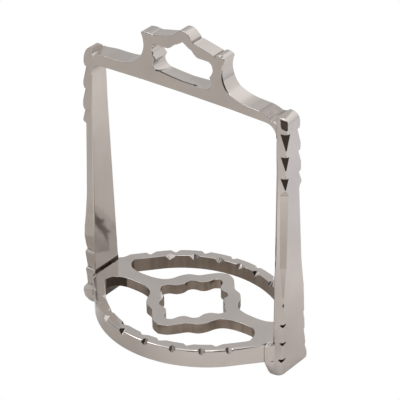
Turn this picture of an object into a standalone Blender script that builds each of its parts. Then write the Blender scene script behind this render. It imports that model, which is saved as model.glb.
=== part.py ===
"""Open stirrup iron with a crown-shaped leather eye, a round foot ring and a wavy diamond tread.

Units are metres and +Z is up. +X runs from one upright to the other, and the foot goes through
along Y. The origin is on the ground, midway between the two feet. The iron is symmetric about the
planes X = 0 and Y = 0.
"""

from math import asin, cos, pi, sin

import bmesh
import bpy

# Driving dimensions
FOOT_OPENING_WIDTH = 0.120       # between the inner faces of the uprights
TREAD_LEVEL = 0.0185             # top of the tread and of the ring, above the ground
OPENING_HEIGHT = 0.1274          # from the tread to the underside of the top bar, at the middle
EYE_RISE = 0.0341                # from the underside of the top bar to the tip of the crown
JOINT_GAP = 0.0003               # clearance left where two pieces meet

UPRIGHT_THICKNESS = 0.0062
UPRIGHT_WIDTH_AT_TREAD = 0.0202
UPRIGHT_WIDTH_AT_TOP = 0.0116
UPRIGHT_TOP_ABOVE_BAR = 0.0042   # top of the upright, above the underside of the bar
UPRIGHT_TOP_RADIUS = 0.0050
FOOT_LOBE_WIDTH = 0.0244         # the foot swells to this width just above the ground
FOOT_PAD_LENGTH = 0.0178         # the level part of the foot that touches the ground
FOOT_PAD_WIDTH = 0.0030
FOOT_FLARE = 0.0032              # how far the foot reaches inward under the ring

BAR_DEPTH_AT_UNDERSIDE = 0.0118  # front to back
CROWN_DEPTH_AT_TIP = 0.0076
BAR_HEIGHT_AT_ENDS = 0.0036
BAR_FILLET = 0.0068              # where the underside of the bar turns down into the uprights

RING_RADIUS = 0.06265            # outer radius of the front and rear bows
RING_CENTRE_OFFSET = 0.01455     # each bow's centre lies this far past the middle of the iron
RING_WIDTH = 0.0062
RING_HEIGHT_OUTSIDE = 0.0105
RING_HEIGHT_INSIDE = 0.0082
RING_STRAIGHT_FROM = 0.0440      # beyond this X the bows run straight to the uprights
RING_END_HALF_WIDTH = 0.0126     # outer corner of a bow's end, from the plane Y = 0

TREAD_THICKNESS = 0.0060

# Worked out from the driving dimensions
INNER_FACE = FOOT_OPENING_WIDTH / 2
OUTER_FACE = INNER_FACE + UPRIGHT_THICKNESS
BAR_UNDERSIDE = TREAD_LEVEL + OPENING_HEIGHT
UPRIGHT_TOP = BAR_UNDERSIDE + UPRIGHT_TOP_ABOVE_BAR
PIECE_END = INNER_FACE - JOINT_GAP
RING_UNDERSIDE = TREAD_LEVEL - RING_HEIGHT_OUTSIDE

CURVE_STEPS = 3                  # points added between two shape points of a smooth curve
ARC_STEPS = 6                    # segments in a quarter-round corner
BOW_STEPS = 28                   # segments round a bow's arc

STEEL_COLOUR = (0.66, 0.63, 0.61, 1.0)
STEEL_ROUGHNESS = 0.16

# Crown of the eye, right half, from the bar's end to the tip: X and height above the underside.
# Each list is one smooth stretch; the stretches meet at V-shaped grooves or sharp corners.
CROWN_FLANK = [(0.0500, 0.0049), (0.0420, 0.0055), (0.0360, 0.0066), (0.0305, 0.0088),
               (0.0277, 0.0118), (0.0259, 0.0156), (0.0253, 0.0191), (0.0259, 0.0228),
               (0.0268, 0.0252)]
CROWN_CORNER = [(0.0268, 0.0252), (0.0260, 0.0265), (0.0240, 0.0272), (0.0220, 0.0269),
                (0.0205, 0.0259)]
CROWN_SHOULDER = [(0.0205, 0.0259), (0.0172, 0.0269), (0.0128, 0.0280), (0.0084, 0.0290),
                  (0.0061, 0.0296)]
CROWN_LOBE = [(0.0061, 0.0296), (0.0042, 0.0320), (0.0022, 0.0336), (0.0, EYE_RISE)]

# Slot for the stirrup leather, right half, from the top middle to the bottom middle
SLOT_TOP = [(0.0, 0.0279), (0.0035, 0.0257), (0.0055, 0.0249), (0.0076, 0.0229), (0.0096, 0.0218)]
SLOT_BEARING = [(0.0096, 0.0218), (0.0166, 0.0218)]
SLOT_UPPER_SIDE = [(0.0166, 0.0218), (0.0185, 0.0204), (0.0193, 0.0176), (0.0185, 0.0152),
                   (0.0173, 0.0134)]
SLOT_LOWER_SIDE = [(0.0173, 0.0134), (0.0187, 0.0108), (0.0183, 0.0084), (0.0154, 0.0062),
                   (0.0086, 0.0054), (0.0, 0.0049)]

# Tread, one quarter, X and Y: outer edge from the rear tip to the fishtail end of the arm
TREAD_EDGE = [(0.0, 0.0312), (0.0048, 0.0292), (0.0086, 0.0252), (0.0122, 0.0210), (0.0173, 0.0187),
              (0.0203, 0.0147), (0.0222, 0.0100), (0.0250, 0.0069), (0.0295, 0.0051),
              (0.0350, 0.0044), (0.0420, 0.0045), (0.0470, 0.0060), (0.0500, 0.0088)]
# and its opening, from the rear corner to the right-hand corner
TREAD_HOLE = [(0.0, 0.0241), (0.0029, 0.0222), (0.0042, 0.0188), (0.0065, 0.0162),
              (0.0110, 0.0151), (0.0132, 0.0128), (0.0137, 0.0088), (0.0158, 0.0056),
              (0.0198, 0.0036), (0.0220, 0.0)]


def clear_scene():
    for old in list(bpy.data.objects):
        bpy.data.objects.remove(old)


def polished_steel(name):
    material = bpy.data.materials.new(name)
    material.use_nodes = True
    shader = material.node_tree.nodes["Principled BSDF"]
    shader.inputs["Base Color"].default_value = STEEL_COLOUR
    shader.inputs["Metallic"].default_value = 1.0
    shader.inputs["Roughness"].default_value = STEEL_ROUGHNESS
    return material


def add_object(name, bm):
    """Finish a bmesh as an object with its own steel, its faces pointing out."""
    bmesh.ops.recalc_face_normals(bm, faces=bm.faces)
    mesh = bpy.data.meshes.new(name)
    bm.to_mesh(mesh)
    bm.free()
    piece = bpy.data.objects.new(name, mesh)
    bpy.context.collection.objects.link(piece)
    piece.data.materials.append(polished_steel(name + "_steel"))
    piece.data.shade_smooth()
    piece.data.set_sharp_from_angle(angle=pi / 6)
    return piece


def smooth_curve(points, steps=CURVE_STEPS):
    """A Catmull-Rom curve through the points, with steps - 1 points added in each span."""
    curve = []
    for i in range(len(points) - 1):
        before = points[max(i - 1, 0)]
        start, end = points[i], points[i + 1]
        after = points[min(i + 2, len(points) - 1)]
        for step in range(steps):
            t = step / steps
            curve.append(tuple(
                0.5 * (2 * b + (c - a) * t + (2 * a - 5 * b + 4 * c - d) * t * t
                       + (3 * b - a - 3 * c + d) * t ** 3)
                for a, b, c, d in zip(before, start, end, after)))
    curve.append(points[-1])
    return curve


def join_stretches(*stretches):
    """One list of points from stretches that share their end points."""
    joined = list(stretches[0])
    for stretch in stretches[1:]:
        joined += stretch[1:]
    return joined


def arc(centre, radius, start, end, steps=ARC_STEPS):
    angles = [start + (end - start) * i / steps for i in range(steps + 1)]
    return [(centre[0] + radius * cos(a), centre[1] + radius * sin(a)) for a in angles]


def mirrored(half):
    """Close a half outline that starts and ends on the axis U = 0 with its mirror image."""
    return half + [(-u, v) for u, v in reversed(half[1:-1])]


def prism(outline, low, high, place):
    """A solid between two parallel copies of an outline; place turns (u, v, w) into x, y, z."""
    bm = bmesh.new()
    rings = [[bm.verts.new(place(u, v, w)) for u, v in outline] for w in (low, high)]
    bm.faces.new(rings[0])
    bm.faces.new(rings[1])
    for i in range(len(outline)):
        j = (i + 1) % len(outline)
        bm.faces.new((rings[0][i], rings[0][j], rings[1][j], rings[1][i]))
    return bm


def hidden_cutter(name, bm):
    cutter = add_object(name, bm)
    cutter.hide_render = True
    cutter.display_type = "WIRE"
    return cutter


def boolean(piece, cutter, operation):
    modifier = piece.modifiers.new(cutter.name, "BOOLEAN")
    modifier.operation = operation
    modifier.solver = "EXACT"
    modifier.object = cutter


def bar_half_depth(z):
    """Half the front-to-back depth of the bar and crown, which thin evenly towards the tip."""
    share = (z - BAR_UNDERSIDE) / EYE_RISE
    return (BAR_DEPTH_AT_UNDERSIDE + (CROWN_DEPTH_AT_TIP - BAR_DEPTH_AT_UNDERSIDE) * share) / 2


def upright_half_width(z):
    """Half the front-to-back width of an upright, which widens evenly towards the tread."""
    share = (z - TREAD_LEVEL) / OPENING_HEIGHT
    return (UPRIGHT_WIDTH_AT_TREAD + (UPRIGHT_WIDTH_AT_TOP - UPRIGHT_WIDTH_AT_TREAD) * share) / 2


def above_underside(points):
    return [(x, BAR_UNDERSIDE + height) for x, height in points]


def make_top_bar():
    crown = join_stretches(*[smooth_curve(s) for s in
                             (CROWN_FLANK, CROWN_CORNER, CROWN_SHOULDER, CROWN_LOBE)])
    fillet = arc((PIECE_END - BAR_FILLET, -BAR_FILLET - 0.0008), BAR_FILLET, pi / 2, 0)
    end = [(PIECE_END, BAR_HEIGHT_AT_ENDS)]
    half = [(0.0, 0.0), (0.030, -0.0002)] + fillet + end + crown
    outline = mirrored(above_underside(half))
    body = add_object("top_bar", prism(
        outline, -1, 1, lambda x, z, side: (x, side * bar_half_depth(z), z)))
    slot = join_stretches(*[smooth_curve(s) for s in (SLOT_TOP, SLOT_BEARING, SLOT_UPPER_SIDE,
                                                      SLOT_LOWER_SIDE)])
    cutter = hidden_cutter("slot_cutter", prism(
        mirrored(above_underside(slot)), -BAR_DEPTH_AT_UNDERSIDE, BAR_DEPTH_AT_UNDERSIDE,
        lambda x, z, y: (x, y, z)))
    boolean(body, cutter, "DIFFERENCE")


def upright_front_view():
    """Outline of the right-hand upright seen from the front, X and Z."""
    radius = UPRIGHT_TOP_RADIUS
    pad_middle = (INNER_FACE + OUTER_FACE) / 2
    pad_outer = pad_middle + FOOT_PAD_WIDTH / 2
    pad_inner = pad_middle - FOOT_PAD_WIDTH / 2
    top = arc((OUTER_FACE - radius, UPRIGHT_TOP - radius), radius, pi / 2, 0)
    toe = [(OUTER_FACE, 0.0050), (OUTER_FACE - 0.0006, 0.0022), (pad_outer + 0.0006, 0.0004),
           (pad_outer, 0.0)]
    flare = [(pad_inner, 0.0), (INNER_FACE - 0.0008, 0.0016),
             (INNER_FACE - FOOT_FLARE, RING_UNDERSIDE - 0.0014),
             (INNER_FACE - FOOT_FLARE, RING_UNDERSIDE - JOINT_GAP),
             (INNER_FACE, RING_UNDERSIDE - JOINT_GAP)]
    return [(INNER_FACE, UPRIGHT_TOP)] + top + smooth_curve(toe) + flare


def upright_side_view():
    """Outline of an upright seen from the side, Y and Z."""
    top = UPRIGHT_TOP + 0.001
    lobe = FOOT_LOBE_WIDTH / 2
    flank = [(upright_half_width(RING_UNDERSIDE), RING_UNDERSIDE + 0.0025), (lobe - 0.0004, 0.0066),
             (lobe, 0.0042), (lobe - 0.0010, 0.0014), (FOOT_PAD_LENGTH / 2, 0.0)]
    half = [(0.0, top), (upright_half_width(top), top)] + smooth_curve(flank) + [(0.0, 0.0)]
    return mirrored(half)


def make_upright(name, side):
    piece = add_object(name, prism(
        upright_front_view(), -FOOT_LOBE_WIDTH, FOOT_LOBE_WIDTH, lambda x, z, y: (side * x, y, z)))
    width = hidden_cutter(name + "_side_view", prism(
        upright_side_view(), INNER_FACE - 0.01, OUTER_FACE + 0.01, lambda y, z, x: (side * x, y, z)))
    boolean(piece, width, "INTERSECT")


def bow_ribs():
    """Pairs of outer and inner points (X, Y) along the front bow, from left to right."""
    inner_radius = RING_RADIUS - RING_WIDTH
    limit = asin(RING_STRAIGHT_FROM / RING_RADIUS)
    ribs = []
    for i in range(BOW_STEPS + 1):
        angle = limit * (2 * i / BOW_STEPS - 1)
        ribs.append([(r * sin(angle), RING_CENTRE_OFFSET - r * cos(angle))
                     for r in (RING_RADIUS, inner_radius)])
    outer, inner = ribs[-1]
    slope = (-RING_END_HALF_WIDTH - outer[1]) / (PIECE_END - outer[0])
    end = [(PIECE_END, -RING_END_HALF_WIDTH),
           (PIECE_END, inner[1] + slope * (PIECE_END - inner[0]))]
    start = [(-x, y) for x, y in end]
    return [start] + ribs + [end]


def bow_inner_line(x):
    """Distance from the plane Y = 0 of a bow's straight inner edge."""
    (x0, y0), (x1, y1) = [rib[1] for rib in bow_ribs()[-2:]]
    return -(y0 + (y1 - y0) * (x - x0) / (x1 - x0))


def make_bow(name, side):
    bm = bmesh.new()
    sections = []
    for (xo, yo), (xi, yi) in bow_ribs():
        corners = [(xo, yo, TREAD_LEVEL), (xo, yo, RING_UNDERSIDE),
                   (xi, yi, TREAD_LEVEL - RING_HEIGHT_INSIDE), (xi, yi, TREAD_LEVEL)]
        sections.append([bm.verts.new((x, -side * y, z)) for x, y, z in corners])
    for here, there in zip(sections, sections[1:]):
        for i in range(4):
            j = (i + 1) % 4
            bm.faces.new((here[i], here[j], there[j], there[i]))
    bm.faces.new(sections[0])
    bm.faces.new(sections[-1])
    add_object(name, bm)


def make_tread():
    tip_x = 0.0512
    clearance = 1.5 * JOINT_GAP
    fishtail = [(tip_x, bow_inner_line(tip_x) - clearance),
                (PIECE_END, bow_inner_line(PIECE_END) - clearance)]
    quarter = smooth_curve(TREAD_EDGE) + fishtail
    right = quarter + [(x, -y) for x, y in reversed(quarter)]
    body = add_object("tread", prism(
        mirrored(right), TREAD_LEVEL - TREAD_THICKNESS, TREAD_LEVEL, lambda x, y, z: (x, y, z)))
    hole = smooth_curve(TREAD_HOLE)
    hole_right = hole + [(x, -y) for x, y in reversed(hole[:-1])]
    cutter = hidden_cutter("tread_hole_cutter", prism(
        mirrored(hole_right), 0.0, 2 * TREAD_LEVEL, lambda x, y, z: (x, y, z)))
    boolean(body, cutter, "DIFFERENCE")


def main():
    clear_scene()
    make_top_bar()
    make_upright("left_upright", -1)
    make_upright("right_upright", 1)
    make_bow("front_bow", -1)
    make_bow("rear_bow", 1)
    make_tread()


main()
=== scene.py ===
"""Look of the open stirrup iron: six filed and polished steel pieces on a white studio floor.

The iron is described in millimetres, and its meshes are scaled to metres when they are made. The
studio around it is in metres. +Z is up, +X runs from the left upright to the right one, and the
front of the iron faces -Y.
"""

from functools import reduce
from math import asin, atan2, ceil, cos, degrees, hypot, pi, radians, sin

import bmesh
import bpy
import numpy as np
from mathutils import Matrix, Vector


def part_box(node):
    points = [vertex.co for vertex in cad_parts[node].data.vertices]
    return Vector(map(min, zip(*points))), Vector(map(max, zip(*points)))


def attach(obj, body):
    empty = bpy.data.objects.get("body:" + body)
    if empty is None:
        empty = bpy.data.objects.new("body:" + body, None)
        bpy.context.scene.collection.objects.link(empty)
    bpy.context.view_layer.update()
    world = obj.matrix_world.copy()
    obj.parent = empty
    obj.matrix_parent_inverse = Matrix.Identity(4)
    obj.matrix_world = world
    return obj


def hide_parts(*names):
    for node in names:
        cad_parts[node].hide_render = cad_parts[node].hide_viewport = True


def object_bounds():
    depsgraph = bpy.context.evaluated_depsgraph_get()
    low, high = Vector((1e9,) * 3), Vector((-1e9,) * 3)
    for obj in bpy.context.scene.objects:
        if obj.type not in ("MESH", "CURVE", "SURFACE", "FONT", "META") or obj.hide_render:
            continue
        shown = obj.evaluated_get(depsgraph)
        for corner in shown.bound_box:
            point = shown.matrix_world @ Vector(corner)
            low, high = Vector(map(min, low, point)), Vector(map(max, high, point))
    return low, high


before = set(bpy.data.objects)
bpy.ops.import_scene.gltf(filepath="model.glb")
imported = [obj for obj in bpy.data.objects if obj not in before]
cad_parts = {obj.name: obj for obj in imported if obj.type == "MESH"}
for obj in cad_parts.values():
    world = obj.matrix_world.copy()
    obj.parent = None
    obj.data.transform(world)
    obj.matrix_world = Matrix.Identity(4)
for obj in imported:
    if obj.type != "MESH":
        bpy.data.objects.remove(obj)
cad_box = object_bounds()

MM = 0.001
CAD_GAP = 0.3                    # between two CAD pieces that are welded together
SEAM = 0.03                      # what is left of such a joint when it is ground flush

# ------------------------------ datums read from the CAD
FLOOR_LEVEL = cad_box[0].z / MM
OUTER_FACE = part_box("right_upright")[1].x / MM
UPRIGHT_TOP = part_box("right_upright")[1].z / MM
CAD_BAR_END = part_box("top_bar")[1].x / MM
EYE_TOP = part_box("top_bar")[1].z / MM
TREAD_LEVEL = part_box("tread")[1].z / MM
TREAD_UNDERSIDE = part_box("tread")[0].z / MM
RING_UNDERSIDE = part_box("front_bow")[0].z / MM
BOW_FRONT = -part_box("front_bow")[0].y / MM
INNER_FACE = CAD_BAR_END + CAD_GAP
PIECE_END = INNER_FACE - SEAM    # where the bar, the bows and the tread stop

EYE_RISE = 34.1
BAR_UNDERSIDE = EYE_TOP - EYE_RISE
OPENING_HEIGHT = BAR_UNDERSIDE - TREAD_LEVEL
END_GROOVE = 1.7                 # rounding of the tread and the bows where they meet an upright

UPRIGHT_WIDTH_AT_TREAD = 20.2
UPRIGHT_WIDTH_AT_TOP = 11.6
BAR_DEPTH_AT_UNDERSIDE = 11.8
CROWN_DEPTH_AT_TIP = 7.6
RING_RADIUS = 62.65
RING_CENTRE_OFFSET = RING_RADIUS - BOW_FRONT
RING_WIDTH = 6.2
RING_HEIGHT_INSIDE = 8.2
RING_STRAIGHT_FROM = 44.0        # the ring is round up to this X and runs straight from there
RING_END_HALF_WIDTH = 12.6

EDGE = 0.45                      # rounding of an ordinary polished edge
BAR_EDGE = 0.3
TREAD_EDGE_ROUND = 0.25
CORNER_POINTS = 6                # points across a rounded or cut edge
SHARP_ANGLE = radians(26)        # faces that meet at a larger angle are shaded with an edge


# ------------------------------ outlines
# top bar: X and height above its underside; the left half's lines are mirrored to -X
BAR_END_RIGHT = [(59.97, 3.5), (58.2, 3.0), (56.8, 2.5)]
BAR_END_LEFT = [(59.97, 4.7), (58.2, 4.8), (56.4, 4.9)]
FLANK_RIGHT = [(56.8, 2.5), (55.5, 2.7), (53.7, 3.3), (50.6, 4.2), (46.0, 4.5), (41.2, 4.8),
               (36.0, 5.7), (30.5, 7.8), (27.7, 10.7), (25.9, 14.8), (25.3, 18.8), (25.9, 22.8),
               (26.8, 25.2)]
FLANK_LEFT = [(56.4, 4.9), (53.0, 5.4), (49.6, 5.7), (42.9, 5.8), (36.0, 6.5), (30.5, 8.8),
              (27.7, 11.8), (25.9, 15.6), (25.3, 19.1), (25.9, 22.8), (26.8, 25.2)]
CROWN_CORNER = [(26.8, 25.2), (26.0, 26.5), (24.0, 27.2), (22.2, 27.0), (21.3, 26.6)]
CORNER_GROOVE = [(21.3, 26.6), (20.7, 24.9), (19.8, 26.2)]
CROWN_SHOULDER = [(19.8, 26.2), (17.2, 26.9), (12.8, 28.0), (8.4, 29.0), (7.0, 29.4)]
LOBE_GROOVE = [(7.0, 29.4), (6.3, 28.8), (5.8, 30.2)]
CROWN_LOBE = [(5.8, 30.2), (4.2, 32.0), (2.2, 33.6), (0.0, EYE_RISE)]
CROWN_LEFT = [(26.8, 25.2), (27.0, 26.0), (26.2, 26.6), (24.5, 26.9), (23.1, 27.0), (21.1, 26.9),
              (19.1, 26.7), (15.9, 27.4), (11.9, 28.3), (7.9, 29.3), (6.1, 30.2), (4.2, 32.0),
              (2.2, 33.6), (0.0, EYE_RISE)]

SLOT_TOP = [(0.0, 27.9), (3.5, 25.7), (5.5, 24.9), (7.6, 22.9), (9.6, 21.8)]
SLOT_BEARING = [(9.6, 21.8), (16.6, 21.8)]
SLOT_UPPER_SIDE = [(16.6, 21.8), (18.5, 20.4), (19.3, 17.6), (18.5, 15.2), (17.3, 13.4)]
SLOT_LOWER_SIDE = [(17.3, 13.4), (18.7, 10.8), (18.3, 8.4), (15.4, 6.2), (8.6, 5.4), (0.0, 4.9)]

# tread: a quarter of its outer edge and of its hole, X and Y
TREAD_EDGE = [(0.0, 31.2), (4.8, 29.2), (8.6, 25.2), (12.2, 21.0), (17.3, 18.7), (20.3, 14.7),
              (22.2, 10.0), (25.0, 6.9), (29.5, 5.1), (35.0, 4.4), (42.0, 4.5), (47.0, 6.0),
              (50.0, 8.8)]
TREAD_HOLE = [(0.0, 24.1), (2.9, 22.2), (4.2, 18.8), (6.5, 16.2), (11.0, 15.1), (13.2, 12.8),
              (13.7, 8.8), (15.8, 5.6), (19.8, 3.6), (22.0, 0.0)]
# the front right quarter of the edge and the rear right quarter of the hole end a little tighter
TREAD_EDGE_FRONT_RIGHT = TREAD_EDGE[:-2] + [(45.2, 6.3), (47.7, 9.6)]
TREAD_HOLE_REAR_RIGHT = TREAD_HOLE[:-4] + [(12.9, 9.6), (15.4, 6.0), (18.6, 3.0), (22.0, 0.0)]


def smooth_curve(points, steps=8):
    """A Catmull-Rom curve through the points, with steps - 1 points added in each span."""
    curve = []
    for i in range(len(points) - 1):
        before = points[max(i - 1, 0)]
        start, end = points[i], points[i + 1]
        after = points[min(i + 2, len(points) - 1)]
        for step in range(steps):
            t = step / steps
            curve.append(tuple(
                0.5 * (2 * b + (c - a) * t + (2 * a - 5 * b + 4 * c - d) * t * t
                       + (3 * b - a - 3 * c + d) * t ** 3)
                for a, b, c, d in zip(before, start, end, after)))
    curve.append(tuple(points[-1]))
    return curve


def join_stretches(*stretches):
    """One line from stretches that each start where the one before ends."""
    joined = list(stretches[0])
    for stretch in stretches[1:]:
        joined += stretch[1:]
    return joined


def arc(centre, radius, start, end, steps=12):
    """Points on a round stretch between two angles in radians."""
    angles = [start + (end - start) * i / steps for i in range(steps + 1)]
    return [(centre[0] + radius * cos(a), centre[1] + radius * sin(a)) for a in angles]


def mirrored(half):
    """A closed loop from its right half, whose ends lie on the middle line."""
    return half + [(-u, v) for u, v in reversed(half[1:-1])]


def from_quarters(rear_right, front_right, left):
    """A closed loop from quarter curves that run outwards from X = 0 on the +X +Y side."""
    loop = rear_right + [(x, -y) for x, y in reversed(front_right)]
    loop += [(-x, -y) for x, y in left] + [(-x, y) for x, y in reversed(left)]
    return [point for point, after in zip(loop, loop[1:] + loop[:1]) if point != after]


def largest(*parts):
    """The largest of several numbers or arrays, point by point."""
    return reduce(np.maximum, parts)


def read_line(places, corners):
    """The value at each place of a line through (place, value) corners."""
    return np.interp(places, *zip(*corners))


def dense(loop, longest=0.5):
    """The closed loop with its long spans divided, so that marks can be cut anywhere on it."""
    points = []
    for (u0, v0), (u1, v1) in zip(loop, loop[1:] + loop[:1]):
        parts = max(1, ceil(hypot(u1 - u0, v1 - v0) / longest))
        points += [(u0 + (u1 - u0) * k / parts, v0 + (v1 - v0) * k / parts) for k in range(parts)]
    return np.array(points)


def turned(loop, anticlockwise):
    """The closed loop running in the asked direction."""
    u, v = loop[:, 0], loop[:, 1]
    area = np.sum(u * np.roll(v, -1) - np.roll(u, -1) * v)
    return loop if (area > 0) == anticlockwise else loop[::-1]


def left_normals(loop):
    """Left-hand mitre normals of a closed loop."""
    along = np.roll(loop, -1, axis=0) - loop
    along /= np.linalg.norm(along, axis=1)[:, None]
    left = np.stack([-along[:, 1], along[:, 0]], axis=1)
    both = left + np.roll(left, 1, axis=0)
    both /= np.linalg.norm(both, axis=1)[:, None]
    return both / np.maximum(np.sum(both * left, axis=1), 0.7)[:, None]


def corner_shares(flat):
    """How far a corner's points run in from each side; flat is 0 for a round, 1 for a facet."""
    t = np.linspace(0.0, 1.0, CORNER_POINTS)[None, :]
    flat = np.asarray(flat)[:, None]
    first = (1 - flat) * (1 - np.sin(t * pi / 2)) + flat * (1 - t)
    second = (1 - flat) * (1 - np.cos(t * pi / 2)) + flat * t
    return first, second


def corner_offsets(first_cut, second_cut, before, after, flat):
    """How far each point of a corner lies from the sharp corner, on each of the two axes.

    The cuts are how far it is cut back on its first and its second side, and before and after are
    the directions in which those two cuts run.
    """
    first, second = corner_shares(flat)
    for k in range(CORNER_POINTS):
        one, two = first_cut * first[:, k], second_cut * second[:, k]
        yield one * before[0] + two * after[0], one * before[1] + two * after[1]


# ------------------------------ shader nodes
class NodeMaker:
    """Makes the nodes of one tree. A source is a number, a tint or another node's output."""

    def __init__(self, tree):
        self.tree = tree

    def fill(self, node, inputs):
        """Set a node's inputs, or link them where the source is another node's output."""
        for key, source in inputs.items():
            socket = node.inputs[key]
            if isinstance(source, bpy.types.NodeSocket):
                self.tree.links.new(source, socket)
            elif isinstance(source, float):
                socket.default_value = source
            else:
                alpha = (1,) * (len(socket.default_value) - len(source))
                socket.default_value = (*source, *alpha)

    def new(self, kind, inputs, **settings):
        node = self.tree.nodes.new("ShaderNode" + kind)
        for key, value in settings.items():
            setattr(node, key, value)
        self.fill(node, inputs)
        return node

    def step(self, source, low, high, from_value, to_value, shape="SMOOTHSTEP"):
        """Goes from one value to the other while the source goes from low to high."""
        inputs = {"Value": source, "From Min": low, "From Max": high, "To Min": from_value,
                  "To Max": to_value}
        return self.new("MapRange", inputs, interpolation_type=shape).outputs["Result"]

    def combine(self, operation, one, two):
        return self.new("Math", {0: one, 1: two}, operation=operation).outputs["Value"]

    def compare(self, operation, one, two):
        """The distance or the dot product of two vectors."""
        return self.new("VectorMath", {0: one, 1: two}, operation=operation).outputs["Value"]

    def mix(self, one, two, share, blend="MIX"):
        """The first colour, with a share of the second mixed into it or multiplied by it."""
        inputs = {"A": one, "B": two, "Factor": share}
        return self.new("Mix", inputs, data_type="RGBA", blend_type=blend).outputs["Result"]

    def noise(self, scale, detail, stretch=(1, 1, 1)):
        where = self.new("TexCoord", {}).outputs["Object"]
        place = self.new("Mapping", {"Vector": where, "Scale": stretch}).outputs["Vector"]
        inputs = {"Vector": place, "Scale": scale, "Detail": detail}
        return self.new("TexNoise", inputs).outputs["Fac"]

    def show(self, seen_by_steel, white, output):
        """Show the camera plain white, and the steel the other shader."""
        path = self.new("LightPath", {})
        inputs = {"Fac": path.outputs["Is Camera Ray"], 1: seen_by_steel, 2: white}
        self.new(output, {"Surface": self.new("MixShader", inputs).outputs["Shader"]})


# ------------------------------ materials
STEEL_TINT = (0.56, 0.525, 0.50)
# The walls' tint is darker than the faces': painted shade. Their streaks are real draw marks.
WALL_TINT_WITH_PAINTED_SHADE = (0.36, 0.305, 0.258)
# Near black: the left upright's dark joint with the tread, and elsewhere painted shade and painted
# dark reflections.
DARK_JOINT_AND_PAINTED_SHADE_TINT = (0.085, 0.068, 0.056)
# Grey and rough: the left upright's filed steps, and painted shade on the crown's grooves, the bar's
# right end and the front bow's chips.
FILED_AND_PAINTED_SHADE_TINT = (0.40, 0.37, 0.35)
DULLER = 0.93                    # share of the tint in the steel's darker clouds
STREAK_DARK, STREAK_LIGHT = (0.80, 0.77, 0.74), (1.0, 0.99, 0.98)
FACE_STEEL, WALL_STEEL_WITH_PAINTED_SHADE, DARK_JOINT_AND_PAINTED_SHADE, FILED_AND_PAINTED_SHADE = 0, 1, 2, 3


def polished_steel(name, tint, roughness, streaks):
    """Hand-polished steel: buffing waves, fine scratches and pits, and vertical draw marks."""
    material = bpy.data.materials.new(name)
    material.use_nodes = True
    make = NodeMaker(material.node_tree)
    cloud = make.step(make.noise(55.0, 3.0), 0.35, 0.65, 0.0, 1.0, "LINEAR")
    colour = make.mix([c * DULLER for c in tint], tint, cloud)
    grain = make.noise(420.0, 4.0, (1, 1, 0.06) if streaks else (1, 1, 1))
    if streaks:
        streak = make.step(make.noise(260.0, 3.0, (1, 1, 0.03)), 0.35, 0.62, 0.0, 1.0, "LINEAR")
        colour = make.mix(colour, make.mix(STREAK_DARK, STREAK_LIGHT, streak), 1.0, "MULTIPLY")
    wave = make.new("Bump", {"Height": make.noise(110.0, 2.0), "Strength": 0.12,
                             "Distance": 0.0004})
    fine = make.new("Bump", {"Height": grain, "Strength": 0.25 if streaks else 0.05,
                             "Distance": 0.00005, "Normal": wave.outputs["Normal"]})
    roughness = make.step(grain, 0.3, 0.7, roughness * 0.8, roughness * 1.25, "LINEAR")
    make.fill(material.node_tree.nodes["Principled BSDF"], {
        "Metallic": 1.0, "Base Color": colour, "Roughness": roughness,
        "Normal": fine.outputs["Normal"]})
    return material


def add_materials(piece, name):
    """The piece's four looks in slot order: plain steel, walls, near black and grey filed, the last
    three with painted shade.
    """
    looks = [("_face", STEEL_TINT, 0.11, False), ("_wall", WALL_TINT_WITH_PAINTED_SHADE, 0.22, True),
             ("_dark_joint_and_painted_shade", DARK_JOINT_AND_PAINTED_SHADE_TINT, 0.35, False), ("_filed_cuts_and_painted_shade", FILED_AND_PAINTED_SHADE_TINT, 0.5, False)]
    for ending, tint, roughness, streaks in looks:
        piece.data.materials.append(polished_steel(name + ending, tint, roughness, streaks))


# ------------------------------ meshes
def is_steep(face):
    """Whether a face is part of a wall."""
    return abs(face.normal.z) < 0.35


def finish_piece(name, bm, is_wall=None, in_dark_joint_and_painted_shade=None, in_filed_and_painted_shade=None):
    """Turn a closed bmesh in millimetres into a piece that rides on the iron's body.

    The three tests pick walls (painted shade), near-black faces (a dark joint, and painted shade)
    and grey filed faces (filed steps, and painted shade).
    """
    bmesh.ops.remove_doubles(bm, verts=bm.verts, dist=1e-5)
    bmesh.ops.dissolve_degenerate(bm, edges=bm.edges, dist=1e-5)
    bmesh.ops.recalc_face_normals(bm, faces=bm.faces)
    for face in bm.faces:
        face.smooth = True
        face.material_index = FACE_STEEL
        if is_wall and is_wall(face):
            face.material_index = WALL_STEEL_WITH_PAINTED_SHADE
        if in_filed_and_painted_shade and in_filed_and_painted_shade(face):
            face.material_index = FILED_AND_PAINTED_SHADE
        if in_dark_joint_and_painted_shade and in_dark_joint_and_painted_shade(face):
            face.material_index = DARK_JOINT_AND_PAINTED_SHADE
    bmesh.ops.scale(bm, vec=(MM, MM, MM), verts=bm.verts)
    mesh = bpy.data.meshes.new(name)
    bm.to_mesh(mesh)
    bm.free()
    piece = bpy.data.objects.new(name, mesh)
    bpy.context.collection.objects.link(piece)
    mesh.set_sharp_from_angle(angle=SHARP_ANGLE)
    weighted = piece.modifiers.new("weighted_normals", "WEIGHTED_NORMAL")
    weighted.keep_sharp = True
    add_materials(piece, name)
    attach(piece, "root")
    return piece


def skin(bm, rows):
    """The faces between closed rows of vertices, all with the same number of them."""
    count = len(rows[0])
    for here, there in zip(rows, rows[1:]):
        for i in range(count):
            j = (i + 1) % count
            bm.faces.new((here[i], here[j], there[j], there[i]))


def loft(bm, rings):
    """A closed solid through rings of points."""
    rows = [[bm.verts.new(p) for p in ring] for ring in rings]
    skin(bm, rows)
    bm.faces.new(rows[0])
    bm.faces.new(rows[-1])


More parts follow.
